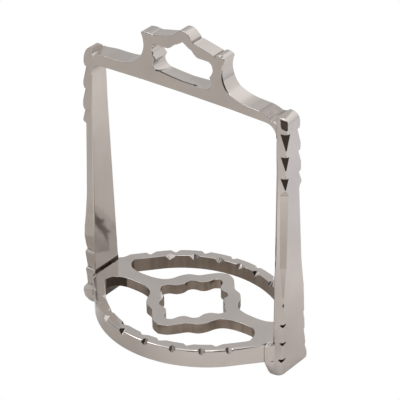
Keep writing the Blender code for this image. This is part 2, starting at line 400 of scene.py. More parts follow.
def plate(bm, loops, low, high, place):
    """A plate between two faces.

    loops holds (points, low edge, high edge, flatness) of the outer outline, anticlockwise, and of
    each opening, clockwise. An edge is how far it is cut back on the face and how far on the side.
    low and high give the two faces' levels, and place turns (u, v, level) into X, Y and Z.
    """
    caps = [[], []]
    for points, low_edge, high_edge, flat in loops:
        normals = left_normals(points)
        in_side, in_face = corner_shares(flat)
        rings = []
        for k in range(CORNER_POINTS):
            off = points + normals * (low_edge[0] * in_face[:, -1 - k])[:, None]
            rings.append((off, low(off) + low_edge[1] * in_side[:, -1 - k]))
        for k in range(CORNER_POINTS):
            off = points + normals * (high_edge[0] * in_face[:, k])[:, None]
            rings.append((off, high(off) - high_edge[1] * in_side[:, k]))
        rows = [[bm.verts.new(place(u, v, w)) for (u, v), w in zip(off, ws)] for off, ws in rings]
        skin(bm, rows)
        for cap, row in zip(caps, (rows[0], rows[-1])):
            cap += [bm.edges.get(pair) for pair in zip(row, row[1:] + row[:1])]
    for cap in caps:
        bmesh.ops.triangle_fill(bm, use_beauty=True, use_dissolve=False, edges=cap)


def notch(where, at, depth, before, after):
    """A V cut: full depth at its place, running out over the lengths before and after it."""
    away = where - at
    share = np.where(away < 0, 1 + away / before, 1 - away / after)
    return depth * np.clip(share, 0, 1)


def scoop(where, at, depth, half_length):
    """A rounded cut: full depth at its place, running out over its half-length."""
    share = 1 - ((where - at) / half_length) ** 2
    return depth * np.sqrt(np.clip(share, 0, 1))


# ------------------------------ uprights
# marks on the outer corners, at heights above the tread: a nick's height, depth and run-out below
# it, and a saw kerf's height and depth
UPPER_NICKS = [(123.0, 3.5, 9.6), (110.2, 3.05, 8.0), (98.0, 3.0, 6.6)]
LOWER_KERFS = [(12.2, 2.6), (1.2, 2.6), (-8.7, 3.0)]
KERF_RUN = 0.95
TIP_CHIP = 125.6                 # from here up the corner is broken off
# the long chamfer: its heights and depths from its lower point up, how high the arch is that
# rounds off its top, and the small kerf just above its point
CHAMFER = [(24.0, 0.0), (46.0, 2.4), (91.0, 3.1)]
CHAMFER_ARCH = 3.5
CHAMFER_STOP = 24.6

# the foot's outlines, each with the height above the floor: half its width, the X of its toe and
# the X of its flank, which steps out below the ring
FOOT_SIDE = [(10.2, 15.0), (10.75, 10.5), (11.5, 6.6), (11.8, 4.2), (11.9, 2.2), (11.8, 0.6),
             (11.4, 0.0)]
FOOT_TOE = [(OUTER_FACE, 3.0), (OUTER_FACE - 0.2, 1.3), (OUTER_FACE - 0.5, 0.4),
            (OUTER_FACE - 0.9, 0.0)]
FOOT_FLARE = [(59.6, 0.0), (58.6, 1.6), (57.9, 5.0), (57.2, 7.9)]
FOOT_STEP = RING_UNDERSIDE - SEAM
FOOT_WELD_X = 61.5
HEEL_CUT, HEEL_HEIGHT = 4.2, 3.0
# by height above the floor: how far the flank bulges, the rounding of the inner edges, which are
# sharp where a bow or the bar is welded on, and the share of the bevel on the inner front edge
FOOT_BULGE = [(0.5, 0.0), (3.0, 0.8), (FOOT_STEP, 3.0)]
INNER_EDGE = [(8.0, 0.5), (18.0, 0.03), (22.0, 0.6), (120.0, 0.6), (130.0, 0.03), (149.4, 0.03),
              (150.5, 0.6)]
INNER_BEVEL = [(50.0, 0.0), (70.0, 1.0), (125.0, 1.0), (137.0, 0.0)]

# the left upright's front is filed by hand, its outer corner into teeth: height above the tread and
# how far it stands out
LEFT_TEETH = [(-17.0, 0.3), (-11.5, 2.2), (-9.9, 2.0), (-9.0, -0.9), (-8.2, -0.9), (0.4, 0.8),
              (0.9, 0.5), (1.6, -0.9), (11.0, 0.9), (11.8, 0.5), (12.4, -1.0), (16.0, 0.2),
              (22.0, 1.3), (27.0, 1.0), (36.0, 0.5), (60.0, 0.3), (100.0, 0.2), (118.0, -0.6),
              (131.0, -1.2)]
LEFT_FRONT = [(100.0, 0.0), (118.0, -0.6), (131.0, -1.2)]

# heights of the rings of points: at the foot, around a mark, in between, and up the rounded cap
FOOT_RINGS = [0.0, 0.08, 0.2, 0.4, 0.7, 1.0, 1.4, 1.9, 2.4]
MARK_RINGS = (-0.9, -0.6, -0.3, 0.0, 0.02, 0.3, 0.6, 0.9)
RING_SPACING = 0.4
CAP_HEIGHT, CAP_RINGS = 6.0, 26
LEAST_CUT = 0.15                 # what is left of a cut where an upright is too thin for it


def upright_heights(top):
    """The heights of an upright's rings of points, close together at its ends and at the marks."""
    steps = FOOT_RINGS + list(np.arange(HEEL_HEIGHT, top - CAP_HEIGHT, RING_SPACING))
    for mark in [TIP_CHIP, CHAMFER_STOP] + [m[0] for m in UPPER_NICKS + LOWER_KERFS]:
        steps += [TREAD_LEVEL + mark + d for d in MARK_RINGS]
    steps += [top - CAP_HEIGHT + CAP_HEIGHT * sin(a) for a in np.linspace(0, pi / 2, CAP_RINGS)]
    steps += [FOOT_STEP, FOOT_STEP + 0.001]
    z = np.array(sorted(set(steps)))
    return z[(z <= top) & np.append(True, np.diff(z) > 5e-4)]


def upright_half_width(z):
    """Half the width at each height: a straight taper above the foot's lobe."""
    share = (z - TREAD_LEVEL) / OPENING_HEIGHT
    straight = (UPRIGHT_WIDTH_AT_TREAD + (UPRIGHT_WIDTH_AT_TOP - UPRIGHT_WIDTH_AT_TREAD) * share) / 2
    lobe = np.array(smooth_curve(FOOT_SIDE))
    return np.where(z > FOOT_SIDE[0][1], straight, np.interp(z, lobe[::-1, 1], lobe[::-1, 0]))


def below_ring(z):
    """Which of the heights belong to the foot's flank."""
    return z <= FOOT_STEP + 0.0005


def rounded_end(z, top, width, height):
    """How far a side has drawn in where it rounds over to the top."""
    share = np.clip((z - (top - height)) / height, 0, 1)
    return width * (1 - np.sqrt(1 - share ** 2))


def outer_side(z, top, end):
    """X of an outer edge, which is rounded at the toe and over to the top."""
    toe = np.array(smooth_curve(FOOT_TOE))
    return np.where(z < FOOT_TOE[0][1], np.interp(z, toe[::-1, 1], toe[::-1, 0]),
                    OUTER_FACE - rounded_end(z, top, *end))


def outer_edge_cuts(above):
    """How far the outer edges are cut back at each height above the tread.

    The cuts are the nicks with the long chamfer, the kerfs of the front edge, and the teeth of the
    rear edge.
    """
    cut = np.zeros(len(above))
    for at, depth, length in UPPER_NICKS:
        lower = np.where(above <= at, depth * (1 - (at - above) / length), 0)
        arch = np.clip(1 - (above - at) / 2.2, 0, 1) ** 0.5
        upper = np.where(above > at, np.maximum(depth * (1 - (above - at) / 0.4), 1.1 * arch), 0)
        cut = largest(cut, lower, upper)
    chamfer_top, chamfer_depth = CHAMFER[-1]
    arch_from = chamfer_top - CHAMFER_ARCH
    arch = scoop(above, arch_from, chamfer_depth, CHAMFER_ARCH)
    cut = np.maximum(cut, np.where(above > arch_from, arch, read_line(above, CHAMFER)))
    kerfs = 0.9 * notch(above, CHAMFER_STOP, 1.0, 1.1, 1.4)
    teeth = np.zeros(len(above))
    for at, depth in LOWER_KERFS:
        kerfs = np.maximum(kerfs, depth * np.minimum(notch(above, at, 1.7, KERF_RUN, KERF_RUN), 1))
        teeth = np.maximum(teeth, notch(above, at, 1.1, 8.0, 0.7))
    return cut, kerfs, teeth


def upright_corners(z, side, top, outer_end, front_end, rear_end, tip_cut, bevel_width):
    """The section's corners at each height, from the inner front one by way of the outer ones.

    A corner is its X, its Y, its two cuts, the directions they run in, and how flat the cut is.
    """
    above, below = z - TREAD_LEVEL, below_ring(z)
    half = upright_half_width(z)
    rear = half - rounded_end(z, top, *rear_end)
    x_out, x_out_front = outer_side(z, top, outer_end), outer_side(z, top, front_end)
    flare = np.array(FOOT_FLARE)
    x_in = np.where(below, np.interp(z, flare[:, 1], flare[:, 0]), INNER_FACE)
    cut, kerfs, teeth = outer_edge_cuts(above)
    front = front_out = half
    if side < 0:
        front, front_out = half + read_line(above, LEFT_FRONT), half + read_line(above, LEFT_TEETH)
        kerfs = kerfs * 0

    crest = np.clip(z - (top - 1.0), 0, 1)
    tip = np.clip((above - TIP_CHIP) / 0.3, 0, 1) * tip_cut
    tip_x = np.interp(above - TIP_CHIP, [0.0, 2.0], [2.9, 3.9]) - 1.2 * crest
    heel = HEEL_CUT * np.clip(1 - z / HEEL_HEIGHT, 0, 1) ** 1.5
    front_x = largest(cut * 1.12, kerfs * 0.72, tip_x * tip, heel, EDGE)
    front_y = largest(cut * 0.86, kerfs * 1.15, (0.9 + 1.1 * crest) * tip, heel, EDGE)
    rear_x = largest(cut * 0.75, teeth, EDGE)
    inner = read_line(z, INNER_EDGE)
    bevel = read_line(z, [(height, share * bevel_width) for height, share in INNER_BEVEL])
    bevel = np.maximum(np.where(below, inner, bevel), inner)

    room = np.maximum((x_out - x_in) / 2 - 0.05, LEAST_CUT)
    rear_x, inner, bevel = [np.minimum(c, room) for c in (rear_x, inner, bevel)]
    front_x = np.minimum(front_x, np.maximum(x_out_front - x_in - bevel - 0.1, LEAST_CUT))
    marks = np.maximum(cut, kerfs)
    front_flat = np.clip((np.maximum(marks, tip) - EDGE) / 0.1, 0, 1)
    rear_flat = np.clip((np.maximum(marks * 0.75, teeth) - EDGE) / 0.1, 0, 1)
    bevelled = np.clip((bevel - inner) / 0.3, 0, 1)
    return [(x_in, -front, inner, bevel, (0, 1), (1, 0), bevelled),
            (x_out_front, -front_out, front_x, front_y, (-1, 0), (0, 1), front_flat),
            (x_out, rear, rear_x, rear_x, (0, -1), (-1, 0), rear_flat),
            (x_in, rear, inner, inner, (1, 0), (0, -1), np.zeros(len(z)))]


def flare_foot(columns, z, x_in, front, rear):
    """Below the ring, make the inner corners' points a flank from the bow's weld to the foot."""
    below = below_ring(z)
    bulge = read_line(z, FOOT_BULGE)
    for k in range(CORNER_POINTS):
        share = k / (CORNER_POINTS - 1)
        flank_x = x_in + (FOOT_WELD_X - x_in) * max(0.0, share - 0.2) / 0.8
        drawn_in = 0.3 if k == 0 else 0
        for column, edge, way in ((k, front, -1), (len(columns) - 1 - k, rear, 1)):
            flank_y = edge + bulge * min(1.0, (1 - share) / 0.8) - drawn_in
            columns[column] = (np.where(below, flank_x, columns[column][0]),
                               np.where(below, way * flank_y, columns[column][1]))


def upright_looks(side, top):
    """The tests for the near-black faces and for the filed faces on one of the uprights."""
    def in_dark_joint_and_painted_shade(face):
        """Left: the dark joint with the tread. Right: painted dark reflections on the chip at the
        tip and the nicks, and painted shade inside the kerfs.
        """
        at, normal = face.calc_center_median(), face.normal
        rise = at.z - TREAD_LEVEL
        if side < 0:
            return -END_GROOVE < rise < 1.6 and -10.6 < at.y < 12.6 and normal.x > 0.8
        tip = rise > TIP_CHIP and at.z < top - 1.0 and normal.x > 0.1 and normal.y < -0.3
        nick = normal.x > 0.3 and normal.y < -0.3 and any(
            height - 0.88 * run < rise < height + 0.3 for height, _, run in UPPER_NICKS)
        level = abs(rise - CHAMFER_STOP) < 1.2 or any(
            abs(rise - height) < KERF_RUN + 0.01 for height, _ in LOWER_KERFS)
        skewed = abs(normal.z) > 0.35 or (abs(normal.x) > 0.25 and abs(normal.y) > 0.25)
        kerf = level and skewed and at.y < 0 and at.x > 62.5
        return tip or nick or kerf

    def in_filed_and_painted_shade(face):
        """The steps between the left upright's teeth."""
        rise = face.calc_center_median().z - TREAD_LEVEL
        return side < 0 and -16.0 < rise < 15.0 and face.normal.y < -0.05 and face.normal.z > 0.4

    return in_dark_joint_and_painted_shade, in_filed_and_painted_shade


def make_upright(name, side, top, outer_end, front_end, rear_end, tip_cut, bevel_width):
    """An upright, with side -1 for the left one.

    outer_end, front_end and rear_end are the width and height of the rounding over to the top: of
    the outer face at the rear, of the outer face at the front, and of the rear face. tip_cut is the
    share of the chip at the tip, and bevel_width the bevel along the inner front edge.
    """
    z = upright_heights(top)
    corners = upright_corners(z, side, top, outer_end, front_end, rear_end, tip_cut, bevel_width)
    columns = []
    for x, y, *corner in corners:
        columns += [(x + dx, y + dy) for dx, dy in corner_offsets(*corner)]
    x_in, inner_front = corners[0][:2]
    flare_foot(columns, z, x_in, -inner_front, upright_half_width(z))
    bm = bmesh.new()
    loft(bm, [[(side * xs[i], ys[i], z[i]) for xs, ys in columns] for i in range(len(z))])
    in_dark_joint_and_painted_shade, in_filed_and_painted_shade = upright_looks(side, top)
    piece = finish_piece(name + "_filed", bm, None, in_dark_joint_and_painted_shade, in_filed_and_painted_shade)
    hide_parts(name)


# ------------------------------ top bar with its eye
BAR_FILLET = 6.8                 # round inner corner between the bar and an upright
BAR_FILLET_CENTRE = -7.6         # height of its centre above the underside
# a cut in the front edge: its X, how far it goes down and back, its run-outs to the left and the
# right, and the height above which it is made
BAR_CUTS = [(58.9, 3.3, 6.0, 5.0, 0.6, 1.0), (-58.2, 2.4, 4.0, 1.7, 1.4, 1.0),
            (24.0, 1.0, 1.6, 2.2, 3.0, 24.0)]
SOFT_LEFT_FROM = -27.0           # left of here the front edge is nearly sharp
# around the grooves the front edge stays sharp: X, reach to either side, and lowest height
GROOVED = [(6.3, 1.3, 27.0), (20.6, 1.2, 24.0)]
# how much there is of the filed steps at each X: on the eye's right flank and on the slot's floor
FLANK_STEP = [(25.0, 0.0), (25.2, 1.0), (28.0, 1.0), (32.0, 0.0)]
SLOT_STEP = [(-18.0, 0.0), (-15.0, 1.0), (4.0, 0.8), (10.0, 0.5), (16.0, 0.0)]
SLOT_STEP_WIDTH, SLOT_STEP_DEPTH = 1.5, 7.5
SLOT_BITES = [(20.6, 2.0), (18.2, 1.8), (15.6, 1.6)]     # on the slot's left side: height, depth
# painted shade: from here to its right end, the top of the bar takes the grey filed look
PAINTED_SHADE_TOP_FROM = 48.6                 # the top of the bar is dull from here to its right end


def bar_half_depth(z):
    """Half the bar's front to rear size, which shrinks up to the crown's tip."""
    share = (z - BAR_UNDERSIDE) / EYE_RISE
    return (BAR_DEPTH_AT_UNDERSIDE + (CROWN_DEPTH_AT_TIP - BAR_DEPTH_AT_UNDERSIDE) * share) / 2


def bar_outline():
    """X and Z around the bar and its crown; the left half is softer and has no grooves."""
    fillet = arc((PIECE_END - BAR_FILLET, BAR_FILLET_CENTRE), BAR_FILLET, pi / 2, 0)
    underside = [(0.0, 0.0), (30.0, -0.2)] + fillet
    right = underside + join_stretches(
        smooth_curve(BAR_END_RIGHT), smooth_curve(FLANK_RIGHT), smooth_curve(CROWN_CORNER),
        CORNER_GROOVE, smooth_curve(CROWN_SHOULDER), LOBE_GROOVE, smooth_curve(CROWN_LOBE))
    left = underside + join_stretches(
        smooth_curve(BAR_END_LEFT), smooth_curve(FLANK_LEFT), smooth_curve(CROWN_LEFT))
    whole = right + [(-x, h) for x, h in reversed(left[1:-1])]
    return turned(dense([(x, BAR_UNDERSIDE + h) for x, h in whole]), True)


def slot_outline():
    half = join_stretches(smooth_curve(SLOT_TOP), smooth_curve(SLOT_BEARING),
                          smooth_curve(SLOT_UPPER_SIDE), smooth_curve(SLOT_LOWER_SIDE))
    return turned(dense([(x, BAR_UNDERSIDE + h) for x, h in mirrored(half)]), False)


def bar_edges(outline):
    """The rear edge, the front edge and its flatness at each point of the bar's outline."""
    x, above = outline[:, 0], outline[:, 1] - BAR_UNDERSIDE
    face_cut = np.where(x < SOFT_LEFT_FROM, 0.1, BAR_EDGE)
    side_cut = face_cut.copy()
    for at, down, back, before, after, lowest in BAR_CUTS:
        there = above > lowest
        face_cut = np.maximum(face_cut, np.where(there, notch(x, at, down, before, after), 0))
        side_cut = np.maximum(side_cut, np.where(there, notch(x, at, back, before, after), 0))
    ends = np.abs(x) > PIECE_END - 0.02
    grooved = np.any([(np.abs(x - at) < reach) & (above > lowest)
                      for at, reach, lowest in GROOVED], axis=0)
    face_cut, side_cut = [np.where(ends | grooved, SEAM, c) for c in (face_cut, side_cut)]
    step = read_line(x, FLANK_STEP) * (above < 22.0) * (above > 3.0)
    flat = np.maximum(np.clip((face_cut - BAR_EDGE) / 0.3, 0, 1), step)
    face_cut = np.maximum(face_cut, 0.8 * step)
    rear = np.where(ends, SEAM, BAR_EDGE)
    return (rear, rear), (face_cut, side_cut), flat


def slot_edges(slot):
    """The same for the slot: a filed step along its floor and bites on its left side."""
    x, above = slot[:, 0], slot[:, 1] - BAR_UNDERSIDE
    step = read_line(x, SLOT_STEP) * (above < 9.5)
    face_cut = BAR_EDGE - step * (BAR_EDGE + SLOT_STEP_WIDTH)
    side_cut = BAR_EDGE + step * SLOT_STEP_DEPTH
    for at, depth in SLOT_BITES:
        bite = np.where(x < -12.0, notch(above, at, depth, 1.5, 0.7), 0)
        face_cut = np.where(bite > 0, np.maximum(face_cut, bite * 0.6), face_cut)
        side_cut = np.maximum(side_cut, bite)
    flat = np.clip((np.maximum(face_cut, side_cut) - BAR_EDGE) / 0.3, 0, 1)
    plain = np.full(len(slot), BAR_EDGE)
    return (plain, plain), (face_cut, side_cut), flat


def bar_in_painted_grey_shade(face):
    """Painted shade in the grey filed look: the grooves across the crown, and the top of the bar's
    right end.
    """
    at, normal = face.calc_center_median(), face.normal
    above = at.z - BAR_UNDERSIDE
    groove = normal.x > 0.5 and any(
        wall[0] < at.x < bottom[0] and above > bottom[1] - 1.0
        for _, bottom, wall in (LOBE_GROOVE, CORNER_GROOVE))
    shoulder = at.x > PAINTED_SHADE_TOP_FROM and above > 1.0 and normal.z > 0.6
    return groove or shoulder


def bar_in_painted_dark_reflection(face):
    """Painted dark reflections, near black, along the front of the slot's floor and left side, and
    of the eye's right flank.
    """
    at, normal = face.calc_center_median(), face.normal
    above = at.z - BAR_UNDERSIDE
    depth = at.y + bar_half_depth(BAR_UNDERSIDE + 5.0)
    floor = -17.5 < at.x < 9.0 and 3.0 < above < 9.5 and normal.z > 0.8 and depth < 1.7
    left = -19.6 < at.x < -14.0 and 12.0 < above < 24.0 and normal.x > 0.3 and depth < 1.0
    flank = 25.0 < at.x < 28.6 and 9.0 < above < 19.5 and normal.y < -0.25 and normal.x > 0.15
    return floor or left or flank


def make_top_bar():
    outline, slot = bar_outline(), slot_outline()
    bm = bmesh.new()
    plate(bm, [(outline, *bar_edges(outline)), (slot, *slot_edges(slot))],
          lambda p: -bar_half_depth(p[:, 1]), lambda p: bar_half_depth(p[:, 1]),
          lambda u, v, w: (u, -w, v))
    piece = finish_piece("top_bar_filed", bm, None, bar_in_painted_dark_reflection, bar_in_painted_grey_shade)
    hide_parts("top_bar")


# ------------------------------ bows of the foot ring
# chips along the outer and the inner edge, at degrees round the ring from the bow's middle
OUTER_NICKS = [-38.8, -25.1, -10.8, 3.7, 18.6, 33.0, 46.3]
INNER_NICKS = [-45.0, -30.6, -15.5, -1.1, 9.8, 25.1, 40.3]
REAR_OUTER_NICKS = [-51.0, -38.5, -22.7, -7.4, 7.8, 22.5, 37.0]
REAR_INNER_NICKS = [-42.0, -28.6, -14.0, -0.9, 11.1, 24.5, 39.0]
DEGREES_PER_MM = degrees(1 / RING_RADIUS)
BOW_JOINT_X = 58.3               # where the bow's own wall stops and its weld fillet begins
WELD_TIP = (61.6, -10.25)
WALL_SHARE = 0.87                # share of the bow's straight end that lies before that joint
JOINT_GROOVE = 0.9
ARC_POINTS = 300
END_SHARES = ([k / 48 for k in range(1, 43)]
              + [0.9, 0.915, 0.93, 0.945, 0.96, 0.97, 0.98, 0.99, 1.0])
FLUSH_FROM = 48.0                # beyond this X the bow's inner edge is a joint with the tread
BROKEN_EDGE = [(-30.0, 1.0), (-5.0, 2.6), (50.0, 2.6), (55.0, 1.0)]   # its width in EDGEs, by X


def bow_lines():
    """Outer and inner line of the front bow from its left end to its right, as X, Y arrays."""
    inner_radius = RING_RADIUS - RING_WIDTH
    limit = asin(RING_STRAIGHT_FROM / RING_RADIUS)
    ribs = []
    for angle in np.linspace(-limit, limit, ARC_POINTS):
        ribs.append([(r * sin(angle), RING_CENTRE_OFFSET - r * cos(angle))
                     for r in (RING_RADIUS, inner_radius)])
    outer, inner = ribs[-1]
    slope = (-RING_END_HALF_WIDTH - outer[1]) / (CAD_BAR_END - outer[0])
    joint = (BOW_JOINT_X, outer[1] + slope * (BOW_JOINT_X - outer[0]))
    tail = []
    for share in END_SHARES:
        xi = inner[0] + (PIECE_END - inner[0]) * share
        yi = inner[1] + slope * (xi - inner[0])
        if share < WALL_SHARE:
            start, finish, along = outer, joint, share / WALL_SHARE
            groove = JOINT_GROOVE * max(0.0, 1 - (1 - along) * 18)
        else:
            start, finish, along = joint, WELD_TIP, (share - WALL_SHARE) / (1 - WALL_SHARE)
            groove = JOINT_GROOVE * max(0.0, 1 - along * 7)
        xo = start[0] + (finish[0] - start[0]) * along - groove * 0.7
        yo = start[1] + (finish[1] - start[1]) * along + groove * 0.7
        tail.append([(xo, yo), (xi, yi)])
    head = [[(-x, y) for x, y in rib] for rib in reversed(tail)]
    return np.array(head + ribs + tail)


def bow_inner_line(x):
    """Distance from the plane Y = 0 of the straight part of a bow's inner edge."""
    straight = bow_lines()[-len(END_SHARES):, 1]
    (x0, y0), (x1, y1) = straight[0], straight[-1]
    return -(y0 + (y1 - y0) * (x - x0) / (x1 - x0))


def chips(line, nicks, before, after):
    """How much of a chip there is at each point of a line: 1 at a nick, running out around it."""
    angle = np.degrees(np.arctan2(line[:, 0], RING_CENTRE_OFFSET - line[:, 1]))
    return largest(*[notch(angle, at, 1.0, before * DEGREES_PER_MM, after * DEGREES_PER_MM)
                     for at in nicks])


def bow_corners(outer, inner, outer_nicks, inner_nicks):
    """The section's corners: line, level, two cuts, the ways they run (inward, up), flatness."""
    plain = np.full(len(outer), EDGE)
    x_out, x_in = np.abs(outer[:, 0]), np.abs(inner[:, 0])
    outer_chips = chips(outer, outer_nicks, 3.0, 3.3)
    inner_chips = chips(inner, inner_nicks, 3.0, 5.5) ** 1.3
    end_scoop = scoop(x_out, BOW_JOINT_X + 0.8, 1.0, 2.6)
    wide = read_line(outer[:, 0], BROKEN_EDGE)
    usual_side, usual_top = EDGE * wide, EDGE * (0.3 + wide)
    outer_side = largest(outer_chips * 2.9, end_scoop * 1.3, usual_side)
    outer_top = largest(outer_chips * 3.0, end_scoop * 3.0, usual_top)
    flush = x_in > FLUSH_FROM
    inner_top = np.where(flush, 0.02, np.maximum(inner_chips * 2.2, EDGE))
    inner_side = np.where(flush, 0.02, np.maximum(inner_chips * 2.8, EDGE))
    weld_side = np.where(x_out > BOW_JOINT_X - 0.5, SEAM, EDGE)

    past = np.clip(x_in - (PIECE_END - END_GROOVE), 0, None)
    drop = END_GROOVE - np.sqrt(np.clip(END_GROOVE ** 2 - past ** 2, 0, None))
    top = TREAD_LEVEL - drop * (inner[:, 0] < 0)
    low_in = np.full(len(inner), TREAD_LEVEL - RING_HEIGHT_INSIDE)
    low_out = np.full(len(outer), RING_UNDERSIDE)

    def flatness(cut, usual):
        return np.clip((cut - usual) / 0.15, 0, 1)

    return [(outer, top, outer_side, outer_top, (0, -1), (1, 0), flatness(outer_top, usual_top)),
            (inner, top, inner_top, inner_side, (-1, 0), (0, -1), flatness(inner_side, EDGE * 1.3)),
            (inner, low_in, plain, plain, (0, 1), (-1, 0), plain * 0),
            (outer, low_out, weld_side, weld_side, (1, 0), (0, 1), plain * 0)]


def bow_looks(side, outer_nicks):
    """The tests for the inner walls (painted shade), and for the grey and the near-black chips
    (painted dark reflections), on one of the bows.
    """
    centre = Vector((0, -side * RING_CENTRE_OFFSET))

    # the ring's inner walls take the darker wall tint: painted shade
    def is_inner_wall(face):
        outward = face.calc_center_median().xy - centre
        return is_steep(face) and face.normal.xy.dot(outward) < 0

    def in_filed_and_painted_shade(face):
        """The larger chips along the front bow's outer edge, grey as a painted dark reflection."""
        at = face.calc_center_median()
        inside, below = RING_RADIUS - (at.xy - centre).length, TREAD_LEVEL - at.z
        on_chip = inside > 0.05 and below > 0.05 and inside + below > 1.5 and face.normal.z > 0.2
        return on_chip and side < 0 and -8.0 < at.x < 50.0 and inside < 4.0

    def in_dark_joint_and_painted_shade(face):
        """Near black in the left half of each of those chips: a painted dark reflection."""
        if not in_filed_and_painted_shade(face):
            return False
        at = face.calc_center_median()
        turn = degrees(atan2(at.x, RING_CENTRE_OFFSET + side * at.y))
        return any(-2.0 < (turn - nick) / DEGREES_PER_MM < -0.2 for nick in outer_nicks)

    return is_inner_wall, in_dark_joint_and_painted_shade, in_filed_and_painted_shade


def make_bow(name, side, outer_nicks, inner_nicks):
    """Half of the foot ring, with side -1 for the front half."""
    lines = bow_lines()
    outer, inner = lines[:, 0], lines[:, 1]
    across = inner - outer
    across /= np.linalg.norm(across, axis=1)[:, None]
    columns = []
    for line, level, *corner in bow_corners(outer, inner, outer_nicks, inner_nicks):
        columns += [(line + across * inward[:, None], level + up)
                    for inward, up in corner_offsets(*corner)]
    bm = bmesh.new()
    loft(bm, [[(xy[i, 0], -side * xy[i, 1], zs[i]) for xy, zs in columns]
              for i in range(len(lines))])
    piece = finish_piece(name + "_filed", bm, *bow_looks(side, outer_nicks))
    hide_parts(name)


# ------------------------------ tread
TREAD_TIP_X = 48.8               # beyond it the tread's edge is a joint with a bow
TREAD_CHIPS = [(15.0, 6.6, 2.2), (-15.0, -6.6, 2.0)]     # in the hole's edge: X, Y, depth
TREAD_CHIP_RADIUS = 3.6


def tread_edge(quarter):
    """A quarter of the tread's outer edge, carried on along the bow to the upright."""
    joint = [(x, bow_inner_line(x) - SEAM) for x in (quarter[-1][0] + 1.2, PIECE_END)]
    return smooth_curve(quarter) + joint


def in_painted_shade_corner(face):
    """The narrow corner beside the front bow's left end, painted black as shade."""
    at = face.calc_center_median()
    return at.x < -42.5 and -12.0 < at.y < 0 and is_steep(face)


def make_tread():
    usual = tread_edge(TREAD_EDGE)
    outline = from_quarters(usual, tread_edge(TREAD_EDGE_FRONT_RIGHT), usual)
    outline = turned(dense(outline), True)
    usual = smooth_curve(TREAD_HOLE)
    hole = from_quarters(smooth_curve(TREAD_HOLE_REAR_RIGHT), usual, usual)
    hole = turned(dense(hole), False)
    x = outline[:, 0]
    cut = np.where(np.abs(x) > TREAD_TIP_X, 0.02, TREAD_EDGE_ROUND)
    cut = np.where(x < -(PIECE_END - 0.01), END_GROOVE, cut)
    plain = np.full(len(hole), TREAD_EDGE_ROUND)
    chipped = plain
    for x, y, depth in TREAD_CHIPS:
        away = np.hypot(hole[:, 0] - x, hole[:, 1] - y)
        chipped = np.maximum(chipped, scoop(away, 0, depth, TREAD_CHIP_RADIUS))
    bm = bmesh.new()
    plate(bm, [(outline, (cut, cut), (cut, cut), cut * 0),
               (hole, (plain, plain), (chipped, chipped), plain * 0)],
          lambda p: np.full(len(p), TREAD_UNDERSIDE), lambda p: np.full(len(p), TREAD_LEVEL),
          lambda u, v, w: (u, v, w))
    # steep faces take the darker wall tint, and the corner by the front bow is painted black: both
    # painted shade
    piece = finish_piece("tread_filed", bm, is_steep, in_painted_shade_corner)
    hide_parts("tread")


# ------------------------------ studio, in metres
WHITE = (1, 1, 1)
FLOOR_SIZE = 6.0
FLOOR_BELOW_IRON = 0.0002
# painted shades and pools of light in the floor's colour: centre, radius, and the share of the light
# that is left at the centre
PAINTED_FLOOR_SHADE_AND_LIGHT = [((-0.100, -0.055, 0.0), 0.10, 0.62), ((0.150, -0.090, 0.0), 0.13, 0.66),
                ((-0.012, -0.066, 0.0), 0.05, 0.80), ((0.085, 0.030, 0.0), 0.06, 0.84),
                ((-0.050, -0.150, 0.0), 0.085, 1.30), ((-0.065, -0.015, 0.0), 0.03, 1.4)]
# the floor's colour at four levels of the painted light
PAINTED_FLOOR_LIGHT_TONES = [(0.36, (0.39, 0.357, 0.322)), (0.88, (0.86, 0.87, 0.90)),
               (0.61, (0.618, 0.597, 0.573)), (0.74, (0.74, 0.713, 0.695))]
# a painted cool light on the floor at the rear right
PAINTED_COOL_LIGHT_TINT = (0.98, 1.01, 1.07)
TENT_TINT = (1.0, 0.985, 0.98)
# a round opening in the tent, and the cosines at its rim and where it is fully dark
OPENING_AZIMUTH, OPENING_ELEVATION = radians(44), radians(30)
OPENING_RIM, OPENING_INSIDE = cos(radians(27)), cos(radians(23))
LAMP_AIM = (0, 0, 0.07)

CAMERA_AZIMUTH, CAMERA_ELEVATION, CAMERA_ROLL = radians(38.09), radians(30.08), radians(-1.23)
CAMERA_DISTANCE = 1.35678
CAMERA_SENSOR, CAMERA_LENS = 36.0, 233.4         # millimetres
CAMERA_AIM_ABOVE_TREAD = 0.0700
CAMERA_SIDESTEP, CAMERA_DROP = 0.00477, 0.00759


def towards(azimuth, elevation):
    """The direction from the iron to a place at this azimuth, from the front to the right."""
    return (sin(azimuth) * cos(elevation), -cos(azimuth) * cos(elevation), sin(elevation))


def painted_floor_light_level(make, position, x, y, lean):
    """The light painted into the floor's colour: lighter to the right, with painted shades around
    the iron.
    """
    level = make.combine("ADD", make.combine("MULTIPLY", x, 1.1), 0.72)
    level = make.combine("MAXIMUM", make.combine("MINIMUM", level, 0.79), 0.52)
    for centre, radius, left_over in PAINTED_FLOOR_SHADE_AND_LIGHT:
        away = make.compare("DISTANCE", position, centre)
        level = make.combine("MULTIPLY", level, make.step(away, 0.0, radius, left_over, 1.0))
    # a painted shade at the left rear
    painted_left_rear_shade = make.combine("MULTIPLY", make.step(lean, -0.02, 0.04, 1.0, 0.0),
                             make.step(y, 0.0, 0.03, 0.0, 1.0))
    painted_left_rear_shade = make.combine("MULTIPLY", painted_left_rear_shade, make.step(y, 0.11, 0.18, 1.0, 0.2))
    return make.combine("MULTIPLY", level, make.step(painted_left_rear_shade, 0.0, 1.0, 1.0, 0.82))


